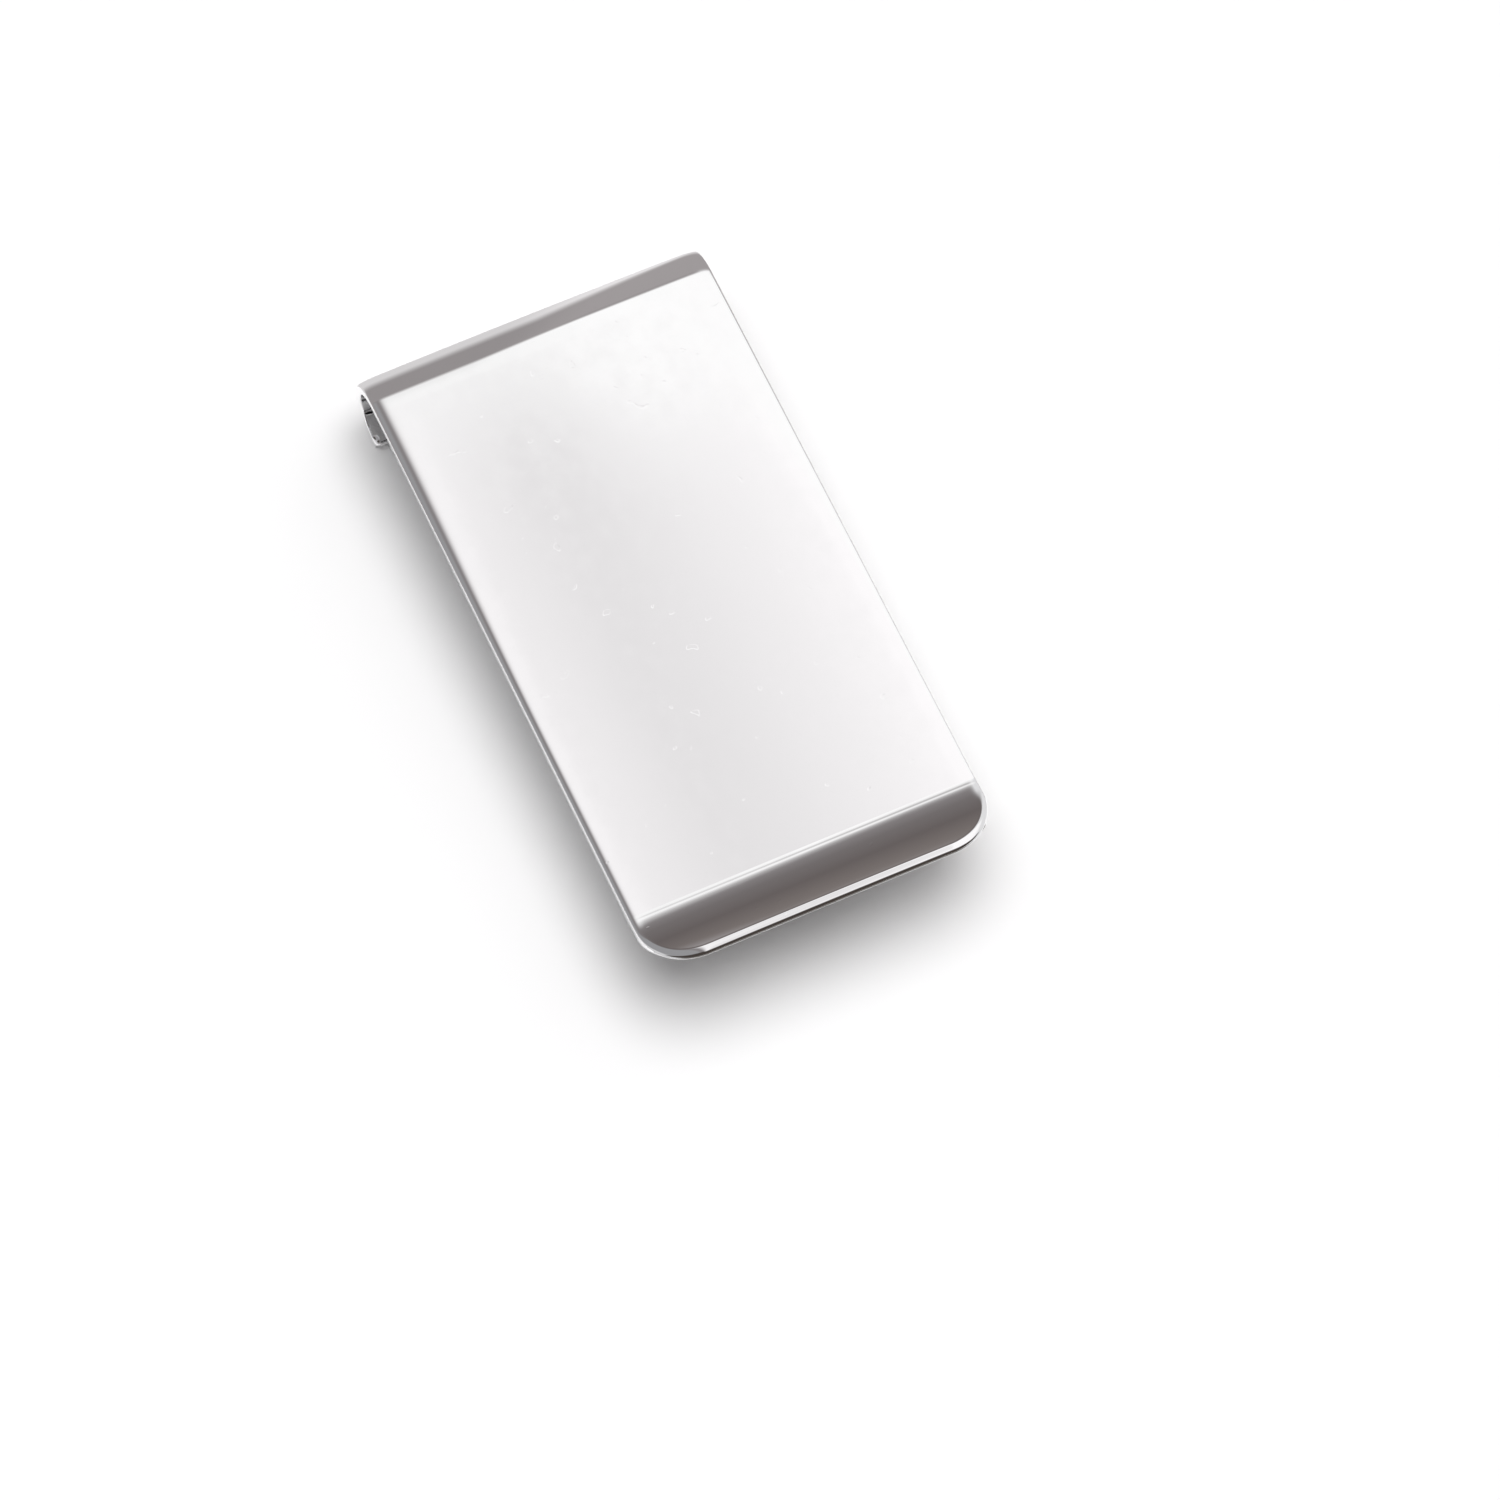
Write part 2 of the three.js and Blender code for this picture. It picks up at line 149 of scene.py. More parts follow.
def crowded(length, count):
    """count + 1 numbers from 0 to length that crowd towards 0."""
    return [length * (1 - math.cos(a)) for a in spread(0, math.pi / 2, count)]


def smooth(t):
    """An S-shaped step from 0 to 1."""
    t = max(0.0, min(1.0, t))
    return t * t * (3 - 2 * t)


def face_outwards(made):
    """Turns every face of a closed mesh outwards and shades it smooth."""
    work = bmesh.new()
    work.from_mesh(made.data)
    bmesh.ops.recalc_face_normals(work, faces=work.faces)
    work.to_mesh(made.data)
    work.free()
    made.data.shade_smooth()


# ---------- front cover ----------
# The strip is laid out flat as (x, s), s being the distance along its middle layer from the rim
# of the lip. Each point is then carried onto the bent middle layer and offset to either face.

RIM_LENGTH = HALF_SHEET  # length that is rounded over at each end of the strip
LIP_FACE = LIP_LENGTH - HALF_SHEET * (1 + math.sin(LIP_END))  # plan length of the lip's upper face
LIP_RADIUS = LIP_FACE / (math.sin(LIP_END) - math.sin(LIP_START))
LIP_MID_RADIUS = LIP_RADIUS + HALF_SHEET
LIP_RUN = LIP_MID_RADIUS * (LIP_END - LIP_START)
CREASE_Y = LIP_LENGTH - COVER_HALF_LENGTH
FLAT_RUN = PIN_Y - CREASE_Y
BEND_MID_RADIUS = BEND_RADIUS - HALF_SHEET
BEND_RUN = BEND_MID_RADIUS * BEND_SWEEP
S_LIP = RIM_LENGTH
S_CREASE = S_LIP + LIP_RUN
S_FLAT = S_CREASE + FLAT_RUN
S_BEND = S_FLAT + BEND_RUN
S_END = S_BEND + RIM_LENGTH


def on_middle_layer(s):
    """(y, z, slope) of the middle layer; slope is the tilt of its normal towards +Y."""
    if s < S_CREASE:
        tilt = LIP_START + (S_CREASE - s) / LIP_MID_RADIUS if s > S_LIP else LIP_END
        y_face = CREASE_Y - LIP_RADIUS * (math.sin(tilt) - math.sin(LIP_START))
        z_face = COVER_HEIGHT + LIP_RADIUS * (math.cos(LIP_START) - math.cos(tilt))
        y = y_face - HALF_SHEET * math.sin(tilt)
        z = z_face - HALF_SHEET * math.cos(tilt)
        if s < S_LIP:
            y -= (S_LIP - s) * math.cos(tilt)
            z += (S_LIP - s) * math.sin(tilt)
        return y, z, tilt
    if s < S_FLAT:
        ease = min(1.0, (s - S_CREASE) / CREASE_WIDTH)
        tilt = LIP_START * (1 - ease)
        return CREASE_Y + s - S_CREASE, COVER_HEIGHT - HALF_SHEET, tilt
    turn = min(s - S_FLAT, BEND_RUN) / BEND_MID_RADIUS
    y = PIN_Y + BEND_MID_RADIUS * math.sin(turn)
    z = COVER_HEIGHT - BEND_RADIUS + BEND_MID_RADIUS * math.cos(turn)
    if s > S_BEND:
        y += (s - S_BEND) * math.cos(turn)
        z -= (s - S_BEND) * math.sin(turn)
    return y, z, turn


def half_width(s):
    """Half the strip's width at s, with its rounded corners."""
    for corner, along in ((LIP_CORNER, s), (FOLD_CORNER, S_END - s)):
        if along < corner:
            return COVER_HALF_WIDTH - corner + math.sqrt(corner**2 - (corner - along) ** 2)
    return COVER_HALF_WIDTH


def edge_distance(x, s):
    """Distance from a point of the flat layout to the strip's outline."""
    x = abs(x)
    for corner, along in ((LIP_CORNER, s), (FOLD_CORNER, S_END - s)):
        inset = COVER_HALF_WIDTH - corner
        if along < corner and x > inset:
            return max(0.0, corner - math.hypot(x - inset, corner - along))
    return max(0.0, min(COVER_HALF_WIDTH - x, s, S_END - s))


def end_share(s):
    """1 at the strip's two ends, falling to 0 along the long edges."""
    nearness = max(1 - s / LIP_CORNER, 1 - (S_END - s) / (2 * FOLD_CORNER))
    return smooth(END_GAIN * nearness)


def long_edge(distance):
    """Half thickness left at a distance from an edge with a small radius."""
    if distance >= EDGE_ROUND:
        return HALF_SHEET
    return HALF_SHEET - EDGE_ROUND + math.sqrt(EDGE_ROUND**2 - (EDGE_ROUND - distance) ** 2)


def round_end(distance):
    """Half thickness left at a distance from an end that is round from face to face."""
    low = math.cos(RIM_BREAK) - HALF_SHEET / RIM_ROUND
    tip = math.sqrt(1 - low**2)
    if distance >= RIM_ROUND * (tip - math.sin(RIM_BREAK)):
        return HALF_SHEET
    return math.sqrt(RIM_ROUND**2 - (RIM_ROUND * tip - distance) ** 2) - RIM_ROUND * low


def half_thickness(distance, s):
    """Half thickness at a distance from the outline: round ends, and long edges with a small radius."""
    share = end_share(s)
    return (1 - share) * long_edge(distance) + share * round_end(distance)


def polish_drop(x, s):
    """How far buffing has lowered the outer face: a slight crown, and softer long edges."""
    inset = COVER_HALF_WIDTH - abs(x)
    towards_fold = smooth((s / S_FLAT - BUFF_CHANGE[0]) / (BUFF_CHANGE[1] - BUFF_CHANGE[0]))
    reach = BUFF_REACH[0] + (BUFF_REACH[1] - BUFF_REACH[0]) * towards_fold
    edge = BUFF_SLOPE * reach * math.exp(-inset / reach)
    across = x / COVER_HALF_WIDTH
    return CROWN * across**2 + edge


def press_ridge(s):
    """The very fine line that the press leaves where the lip starts."""
    return RIDGE_HEIGHT * math.exp(-(((S_CREASE - s - RIDGE_PLACE) / RIDGE_WIDTH) ** 2))


def strip_rows():
    """s of each row. The rows are closest at the rim of the lip, at the ridge and at the crease."""
    end_run = S_END - S_BEND + END_ZONE
    rows = crowded(LIP_CORNER, 44)
    stretches = [
        (S_CREASE - RIDGE_ZONE, 6),
        (S_CREASE, 30),
        (S_CREASE + CREASE_WIDTH, 8),
        (S_FLAT, 44),
        (S_END - end_run, 84),
    ]
    for end, count in stretches:
        rows += spread(rows[-1], end, count)[1:]
    return rows + [S_END - end_run * math.cos(a) for a in spread(0, math.pi / 2, 12)][1:]


def strip_columns(width):
    """x of each column; the columns crowd towards the rounded edges."""
    right = [width - inset for inset in crowded(ROUND_ZONE, 16) + COLUMN_INSETS]
    middle = spread(right[-1], -right[-1], 16)[1:-1]
    return right + middle + [-x for x in reversed(right)]


def facing_pair(above, below):
    """Both faces of one cell of the sheet, without the part in which they are the same."""
    shared = set(above) & set(below)
    if len(shared) == 4:
        return []
    if len(shared) < 3:
        return [tuple(above), tuple(below)]
    pair = []
    for quad in (above, below):
        free = next(i for i, vertex in enumerate(quad) if vertex not in shared)
        pair.append((quad[free - 1], quad[free], quad[(free + 1) % 4]))
    return pair


def make_cover():
    """Upper and lower face of the strip, row by row, closed by a band along each side."""
    rows = strip_rows()
    vertices, upper, lower = [], [], []
    for s in rows:
        y, z, tilt = on_middle_layer(s)
        normal = (math.sin(tilt), math.cos(tilt))
        upper_row, lower_row = [], []
        for x in strip_columns(half_width(s)):
            half = half_thickness(edge_distance(x, s), s)
            share = min(1.0, half / HALF_SHEET)
            top = half - share * (polish_drop(x, s) - press_ridge(s))
            upper_row.append(len(vertices))
            vertices.append((x, y + top * normal[0], z + top * normal[1]))
            if half < TIP_THICKNESS:
                lower_row.append(upper_row[-1])
            else:
                lower_row.append(len(vertices))
                vertices.append((x, y - half * normal[0], z - half * normal[1]))
        upper.append(upper_row)
        lower.append(lower_row)

    faces = []
    columns = len(upper[0])
    for j in range(len(rows) - 1):
        for k in range(columns - 1):
            above = [upper[j][k], upper[j + 1][k], upper[j + 1][k + 1], upper[j][k + 1]]
            below = [lower[j][k], lower[j][k + 1], lower[j + 1][k + 1], lower[j + 1][k]]
            faces += facing_pair(above, below)
        for k, flip in ((0, False), (columns - 1, True)):
            corners = [upper[j][k], lower[j][k], lower[j + 1][k], upper[j + 1][k]]
            band = list(dict.fromkeys(corners))
            if len(band) > 2:
                faces.append(tuple(reversed(band)) if flip else tuple(band))
    cover = new_mesh_object("cover_strip", vertices, faces)
    face_outwards(cover)
    return cover


# ---------- springs ----------


def spring_route(side):
    """Middle of the wire from the tang in the cradle's ear, round the coil, to the arm under the leaf."""

    def from_pin(x, y, z):
        return Vector((side * x, PIN_Y + y, PIN_Z + z))

    bend_x = COIL_START + TANG_BEND
    points = [from_pin(x, TANG_OFFSET, 0) for x in spread(TANG_REACH, bend_x, 6)]
    join_angle = math.asin(TANG_BEND / COIL_RADIUS)
    join_y = COIL_RADIUS * math.cos(join_angle)
    for share in spread(0, 1, 10)[1:]:
        angle = share * math.pi / 2
        x = bend_x - TANG_BEND * math.sin(angle)
        y = TANG_OFFSET + (join_y - TANG_OFFSET) * share
        points.append(from_pin(x, y, TANG_BEND * (math.cos(angle) - 1)))
    for i in range(COIL_FIRST_STEP, int(COIL_TURNS * COIL_STEPS) + 1):
        turns = i / COIL_STEPS
        angle = -2 * math.pi * turns
        x = COIL_START - COIL_PITCH * turns
        points.append(from_pin(x, COIL_RADIUS * math.cos(angle), COIL_RADIUS * math.sin(angle)))
    arm_x = side * (COIL_START - COIL_PITCH * COIL_TURNS)
    start = points[-1]
    for y in spread(start.y, LEAF_BACK_EDGE, 6)[1:]:
        share = (start.y - y) / (start.y - LEAF_BACK_EDGE)
        z = start.z + (arm_height(LEAF_BACK_EDGE) - start.z) * smooth(share)
        points.append(Vector((arm_x, y, z)))
    for y in spread(LEAF_BACK_EDGE, SPRING_ARM_END, 8)[1:]:
        points.append(Vector((arm_x, y, arm_height(y))))
    return points


def arm_height(y):
    """Height of the arm's middle where it lies along the leaf's lower face."""
    underside = LEAF_BACK_UNDERSIDE + (LEAF_BACK_EDGE - y) * math.tan(LEAF_RISE)
    return underside - WIRE_RADIUS - GRIP_GAP


def sweep(name, points, radius, around=14):
    """A round wire along the points, with slightly rounded ends and a UV map that runs along it."""
    tangents = []
    for i in range(len(points)):
        ahead, behind = points[min(i + 1, len(points) - 1)], points[max(i - 1, 0)]
        tangents.append((ahead - behind).normalized())
    side = tangents[0].orthogonal().normalized()
    rings = []
    for i, (point, tangent) in enumerate(zip(points, tangents)):
        if i:
            side = tangents[i - 1].rotation_difference(tangent) @ side
        side = (side - side.dot(tangent) * tangent).normalized()
        rings.append((point, tangent, side))
    last = len(rings) - 1
    stations = [(rings[0], inset * radius, size * radius) for inset, size in WIRE_END]
    stations += [(rings[i], 0.0, radius) for i in range(1, last)]
    stations += [(rings[last], -inset * radius, size * radius) for inset, size in reversed(WIRE_END)]
    vertices = []
    for (point, tangent, across), push, size in stations:
        other = tangent.cross(across)
        for k in range(around):
            angle = 2 * math.pi * k / around
            outwards = math.cos(angle) * across + math.sin(angle) * other
            vertices.append(point + push * tangent + size * outwards)
    faces = [tuple(reversed(range(around)))]
    for i in range(len(stations) - 1):
        low, high = i * around, (i + 1) * around
        for k in range(around):
            n = (k + 1) % around
            faces.append((low + k, low + n, high + n, high + k))
    faces.append(tuple(range((len(stations) - 1) * around, len(stations) * around)))
    wire = new_mesh_object(name, vertices, faces)
    wire.data.shade_smooth()
    layer = wire.data.uv_layers.new(name="along")
    for polygon in wire.data.polygons:
        for loop in polygon.loop_indices:
            vertex = wire.data.loops[loop].vertex_index
            layer.data[loop].uv = ((vertex % around) / around, (vertex // around) / len(stations))
    return wire


# ---------- turned pieces ----------


def turned(name, profile, closed, around=72):
    """Turns a profile of (x, radius) points round the pin's axis."""
    vertices, rings = [], []
    for x, radius in profile:
        count = around if radius > 0 else 1
        rings.append([len(vertices) + k for k in range(count)])
        for k in range(count):
            angle = 2 * math.pi * k / around
            vertices.append((x, PIN_Y + radius * math.cos(angle), PIN_Z + radius * math.sin(angle)))
    pairs = list(zip(rings, rings[1:]))
    if closed:
        pairs.append((rings[-1], rings[0]))
    faces = []
    for low, high in pairs:
        for k in range(around):
            n = (k + 1) % around
            corners = [low[k % len(low)], low[n % len(low)], high[n % len(high)], high[k % len(high)]]
            faces.append(tuple(dict.fromkeys(corners)))
    made = new_mesh_object(name, vertices, faces)
    face_outwards(made)
    made.data.set_sharp_from_angle(angle=SHARP_ANGLE)
    return made


def rounded_corner(x, radius, x_from, radius_from):
    """Points that round a corner; x_from and radius_from say which way the material lies."""
    points = []
    for turn in spread(0, math.pi / 2, 4):
        along = x_from * TURNED_BREAK * (1 - math.sin(turn))
        out = radius_from * TURNED_BREAK * (1 - math.cos(turn))
        points.append((x + along, radius + out))
    return points


def make_ring(name, low, high, radius):
    """A washer or sleeve on the pin, from x = low to x = high."""
    profile = rounded_corner(low, radius, 1, -1)
    profile += reversed(rounded_corner(low, TURNED_BORE, 1, 1))
    profile += rounded_corner(high, TURNED_BORE, -1, 1)
    profile += reversed(rounded_corner(high, radius, -1, -1))
    return turned(name, profile, closed=True)


def make_pin():
    """The pin, with a domed head at each end."""
    half = [(PIN_HALF_LENGTH, PIN_RADIUS)]
    half += reversed(rounded_corner(PIN_HALF_LENGTH, PIN_HEAD_RADIUS, 1, -1))
    shoulder = PIN_HALF_LENGTH + PIN_HEAD_RIM
    for turn in spread(0, math.pi / 2, 14)[1:-1]:
        half.append((shoulder + PIN_HEAD_DOME * math.sin(turn), PIN_HEAD_RADIUS * math.cos(turn)))
    half.append((shoulder + PIN_HEAD_DOME, 0))
    mirrored = [(-x, radius) for x, radius in reversed(half)]
    return turned("hinge_pin_turned", mirrored + half, closed=False)


# ---------- finer copies of the pressed pieces ----------


MERGE_DISTANCE = 2e-6  # metres
FLAT_ANGLE = math.radians(0.6)  # faces that differ by less than this become one
CORNER_ANGLE = math.radians(35)  # edges steeper than this are broken


def broken_corners(node, name):
    """The CAD piece's own shape, with clean faces, smooth bends and broken corners."""
    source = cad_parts[node]
    mesh = source.data.copy()
    mesh.transform(source.matrix_world)
    work = bmesh.new()
    work.from_mesh(mesh)
    bmesh.ops.remove_doubles(work, verts=work.verts, dist=MERGE_DISTANCE)
    bmesh.ops.dissolve_limit(
        work, angle_limit=FLAT_ANGLE, verts=work.verts, edges=work.edges, delimit={"NORMAL"}
    )
    work.to_mesh(mesh)
    work.free()
    mesh.shade_smooth()
    made = bpy.data.objects.new(name, mesh)
    bpy.context.scene.collection.objects.link(made)
    bevel = made.modifiers.new("broken_corners", "BEVEL")
    bevel.width = CORNER_BREAK * MM
    bevel.segments = 3
    bevel.limit_method = "ANGLE"
    bevel.angle_limit = CORNER_ANGLE
    bevel.harden_normals = True
    return made


# ---------- materials ----------


class NodeGraph:
    """Makes and links the nodes of one material or world."""

    def __init__(self, owner):
        owner.use_nodes = True
        self.nodes, self.links = owner.node_tree.nodes, owner.node_tree.links

    def node(self, kind, **settings):
        made = self.nodes.new(kind)
        for key, value in settings.items():
            setattr(made, key, value)
        return made

    def feed(self, socket, value):
        """value is another node's output, a plain number or a plain colour."""
        if isinstance(value, bpy.types.NodeSocket):
            self.links.new(value, socket)
        else:
            socket.default_value = (*value, 1) if isinstance(value, tuple) else value

    def maths(self, operation, first, second):
        made = self.node("ShaderNodeMath", operation=operation)
        self.feed(made.inputs[0], first)
        self.feed(made.inputs[1], second)
        return made.outputs[0]

    def mixed(self, share, first, second):
        """A colour that goes from the first to the second while share goes from 0 to 1."""
        made = self.node("ShaderNodeMix", data_type="RGBA")
        for name, value in (("Factor", share), ("A", first), ("B", second)):
            self.feed(made.inputs[name], value)
        return made.outputs["Result"]

    def between(self, value, low, high, result_low=0.0, result_high=1.0, interpolation="LINEAR"):
        """result_low where value is low, result_high where it is high, and held beyond both."""
        made = self.node("ShaderNodeMapRange", interpolation_type=interpolation)
        self.links.new(value, made.inputs["Value"])
        numbers = {"From Min": low, "From Max": high, "To Min": result_low, "To Max": result_high}
        for name, number in numbers.items():
            made.inputs[name].default_value = number
        return made.outputs["Result"]


STEEL_COLOUR = (0.74, 0.74, 0.75)
DULL_SPAN = (0.3, 0.7)  # values of a noise over which a metal goes from bright to dull
TINT_SPAN = (0.35, 0.7)  # and over which it takes its second colour


class Finish(NodeGraph):
    """Builds a metal out of fine marks: each mark is a noise stretched along some direction."""

    def __init__(self, name, colour, source="Object"):
        self.material = bpy.data.materials.new(name)
        super().__init__(self.material)
        self.shader = self.nodes["Principled BSDF"]
        self.shader.inputs["Metallic"].default_value = 1.0
        self.colour = colour
        self.coordinates = self.node("ShaderNodeTexCoord").outputs[source]
        self.normal = None

    def noise(self, scale, detail, coordinates=None):
        """scale is the number of marks along each axis, per metre or per unit of the UV map."""
        mapping = self.node("ShaderNodeMapping")
        mapping.inputs["Scale"].default_value = scale
        self.links.new(coordinates or self.coordinates, mapping.inputs["Vector"])
        texture = self.node("ShaderNodeTexNoise")
        texture.inputs["Scale"].default_value = 1.0
        texture.inputs["Detail"].default_value = detail
        self.links.new(mapping.outputs["Vector"], texture.inputs["Vector"])
        return texture.outputs["Fac"]

    def relief(self, height, depth):
        """depth is the height in metres of a full step in the texture."""
        bump = self.node("ShaderNodeBump")
        bump.inputs["Distance"].default_value = depth
        self.links.new(height, bump.inputs["Height"])
        if self.normal is not None:
            self.links.new(self.normal, bump.inputs["Normal"])
        self.normal = bump.outputs["Normal"]
        self.links.new(self.normal, self.shader.inputs["Normal"])

    def roughness(self, value, low, high):
        """Takes the metal's roughness from low to high where value rises."""
        self.links.new(self.between(value, *DULL_SPAN, low, high), self.shader.inputs["Roughness"])

    def tint(self, value, other):
        """Takes the metal's colour to the other one where value rises."""
        mix = self.mixed(self.between(value, *TINT_SPAN), self.colour, other)
        self.links.new(mix, self.shader.inputs["Base Color"])

    def round_the_pin(self):
        """Coordinates that change along the pin and away from it, as marks of turning do."""
        from_pin = self.node("ShaderNodeVectorMath", operation="SUBTRACT")
        from_pin.inputs[1].default_value = (0, PIN_Y * MM, PIN_Z * MM)
        self.links.new(self.coordinates, from_pin.inputs[0])
        flatten = self.node("ShaderNodeVectorMath", operation="MULTIPLY")
        flatten.inputs[1].default_value = (0, 1, 1)
        self.links.new(from_pin.outputs["Vector"], flatten.inputs[0])
        radius = self.node("ShaderNodeVectorMath", operation="LENGTH")
        self.links.new(flatten.outputs["Vector"], radius.inputs[0])
        split = self.node("ShaderNodeSeparateXYZ")
        self.links.new(self.coordinates, split.inputs[0])
        join = self.node("ShaderNodeCombineXYZ")
        self.links.new(split.outputs["X"], join.inputs["X"])
        self.links.new(radius.outputs["Value"], join.inputs["Y"])
        return join.outputs["Vector"]


def polished_silver():
    """Mirror polish: a faint waviness, hairlines from the cloth and a few tiny pits."""
    finish = Finish("polished_silver", (0.965, 0.96, 0.962))
    cloth = finish.noise((9000, 260, 9000), detail=3)
    crossing = finish.noise((420, 7000, 7000), detail=2)
    handling = finish.noise((900, 700, 900), detail=3)
    waves = finish.noise((120, 90, 90), detail=1)
    pits = finish.noise((1500, 1500, 1500), detail=0)
    finish.relief(waves, depth=4e-6)
    finish.relief(cloth, depth=6e-8)
    finish.relief(crossing, depth=4e-8)
    finish.relief(finish.between(pits, 0.82, 0.85, 1.0, 0.0), depth=2e-6)
    finish.roughness(handling, low=0.03, high=0.07)
    finish.tint(handling, (0.955, 0.95, 0.952))
    return finish.material


def plated_steel():
    """Bright plate over a sheet that was brushed across the clip."""
    finish = Finish("plated_steel", STEEL_COLOUR)
    brushing = finish.noise((260, 6000, 3000), detail=2)
    handling = finish.noise((500, 420, 500), detail=3)
    finish.relief(brushing, depth=4e-7)
    finish.relief(handling, depth=5e-7)
    finish.roughness(handling, low=0.19, high=0.25)
    finish.tint(brushing, (0.68, 0.675, 0.675))
    return finish.material


def turned_metal(name, colour, worn_colour, low_roughness, high_roughness):
    """Fine rings from the lathe, dulled in patches."""
    finish = Finish(name, colour)
    rings = finish.noise((11000, 11000, 0), detail=2, coordinates=finish.round_the_pin())
    patches = finish.noise((1200, 1200, 1200), detail=3)
    finish.relief(rings, depth=1.2e-6)
    finish.roughness(patches, low_roughness, high_roughness)
    finish.tint(patches, worn_colour)
    return finish.material


def drawn_wire():
    """Spring wire with the long marks of the drawing die."""
    finish = Finish("drawn_wire", (0.56, 0.56, 0.57), source="UV")
    marks = finish.noise((16, 9, 1), detail=3)
    patches = finish.noise((3, 60, 1), detail=3)
    finish.relief(marks, depth=4e-6)
    finish.roughness(marks, low=0.2, high=0.42)
    finish.tint(patches, (0.42, 0.41, 0.42))
    return finish.material


def floor_material():
    material = bpy.data.materials.new("pale_floor")
    material.use_nodes = True
    shader = material.node_tree.nodes["Principled BSDF"]
    shader.inputs["Base Color"].default_value = (0.88, 0.88, 0.88, 1)
    shader.inputs["Roughness"].default_value = 0.9
    shader.inputs["Specular IOR Level"].default_value = 0.0
    return material


# ---------- pieces ----------


def show(made, material, node):
    """The made object takes the CAD node's place."""
    made.data.materials.clear()
    made.data.materials.append(material)
    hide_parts(node)


cover = make_cover()
show(cover, polished_silver(), "front_cover")
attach(cover, "front")

sheet_steel = plated_steel()
for node, body in (("clamp_leaf", "clamp"), ("hinge_cradle", "front")):
    piece = broken_corners(node, node + "_sheet")
    show(piece, sheet_steel, node)
    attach(piece, body)

pin = make_pin()
pin_steel = turned_metal("turned_steel", STEEL_COLOUR, (0.6, 0.6, 0.6), 0.12, 0.28)
show(pin, pin_steel, "hinge_pin")
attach(pin, "front")

wire = drawn_wire()
for word, side in (("left", -1), ("right", 1)):
    spring = sweep("spring_wire_" + word, spring_route(side), WIRE_RADIUS)
    show(spring, wire, "torsion_spring_" + word)
    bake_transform(spring)

brass = turned_metal("turned_brass", (0.8, 0.62, 0.3), (0.62, 0.44, 0.2), 0.16, 0.34)
rings = {
    "thrust_washer_left": (-WASHER_OUTER, -WASHER_INNER, WASHER_RADIUS),
    "thrust_washer_right": (WASHER_INNER, WASHER_OUTER, WASHER_RADIUS),
    "spacer_sleeve": (-SLEEVE_HALF_LENGTH, SLEEVE_HALF_LENGTH, SLEEVE_RADIUS),
}
for node, (low, high, radius) in rings.items():
    ring = make_ring(node + "_turned", low, high, radius)
    show(ring, brass, node)
    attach(ring, "front")

# ---------- floor ----------

FLOOR_REACH = 6000
FLOOR_DROP = 0.05  # keeps the floor clear of the faces that rest on it

floor_corners = [(x * FLOOR_REACH, y * FLOOR_REACH, 0) for x, y in ((-1, -1), (1, -1), (1, 1), (-1, 1))]
floor = new_mesh_object("floor", floor_corners, [(0, 1, 2, 3)])
floor.data.materials.append(floor_material())
floor.location.z = -FLOOR_DROP * MM

# ---------- reflector cards: only the metal's reflections see them ----------
# Their tones, and where these change, were set like the studio's; see the section on light.


class CardTone(NodeGraph):
    """An emissive card that goes from one tone to another along a line, given in millimetres."""

    def __init__(self, name, low_tone, high_tone):
        self.material = bpy.data.materials.new(name)
        super().__init__(self.material)
        self.nodes.clear()
        self.tones = (low_tone, high_tone)
        self.coordinates = self.node("ShaderNodeTexCoord").outputs["Object"]
        self.split = self.node("ShaderNodeSeparateXYZ")
        self.links.new(self.coordinates, self.split.inputs[0])
        self.glow = self.node("ShaderNodeEmission")
        self.surface = self.glow.outputs[0]

    def tipped(self, value, lean):
        """value with a rise added to it from x_low to x_high; lean is (x_low, x_high, rise)."""
        x_low, x_high, rise = lean
        added = self.between(self.split.outputs["X"], x_low * MM, x_high * MM, 0, rise)
        return self.maths("ADD", value, added)

    def slope(self, direction, low, high, lean=(0, 1, 0)):
        """The tone changes along direction, over a line that lean tips to one side."""
        along = self.node("ShaderNodeVectorMath", operation="DOT_PRODUCT")
        along.inputs[1].default_value = [1 / MM * part for part in direction]
        self.links.new(self.coordinates, along.inputs[0])
        place = self.tipped(along.outputs["Value"], lean)
        share = self.between(place, low, high, interpolation="SMOOTHSTEP")
        self.links.new(self.mixed(share, *self.tones), self.glow.inputs["Color"])

    def dim_left(self, x_low, x_high, share):
        """Left of x_low the card gives this share of its light, and right of x_high all of it."""
        x = self.split.outputs["X"]
        strength = self.between(x, x_low * MM, x_high * MM, share, 1, "SMOOTHSTEP")
        self.links.new(strength, self.glow.inputs["Strength"])

    def thin_out(self, low, high, lean):
        """The card becomes clear between two heights, which lean tips to one side."""
        x_low, x_high, rise = lean
        height = self.tipped(self.split.outputs["Z"], (x_low, x_high, rise * MM))
        share = self.between(height, low * MM, high * MM, interpolation="SMOOTHSTEP")
        clear = self.node("ShaderNodeBsdfTransparent")
        fade = self.node("ShaderNodeMixShader")
        self.links.new(share, fade.inputs["Fac"])
        self.links.new(self.surface, fade.inputs[1])
        self.links.new(clear.outputs[0], fade.inputs[2])
        self.surface = fade.outputs[0]

    def finished(self):
        output = self.node("ShaderNodeOutputMaterial")
        self.links.new(self.surface, output.inputs["Surface"])
        return self.material


def reflector_card(name, profile, half_width, material):
    """A sheet bent along X, given by its (y, z) profile and half its width in millimetres."""
    vertices = [(x, y, z) for y, z in profile for x in (-half_width, half_width)]
    faces = [(2 * i, 2 * i + 1, 2 * i + 3, 2 * i + 2) for i in range(len(profile) - 1)]
    card = new_mesh_object(name, vertices, faces)
    card.data.materials.append(material)
    card.visible_camera = False
    card.visible_diffuse = False
    card.visible_shadow = False


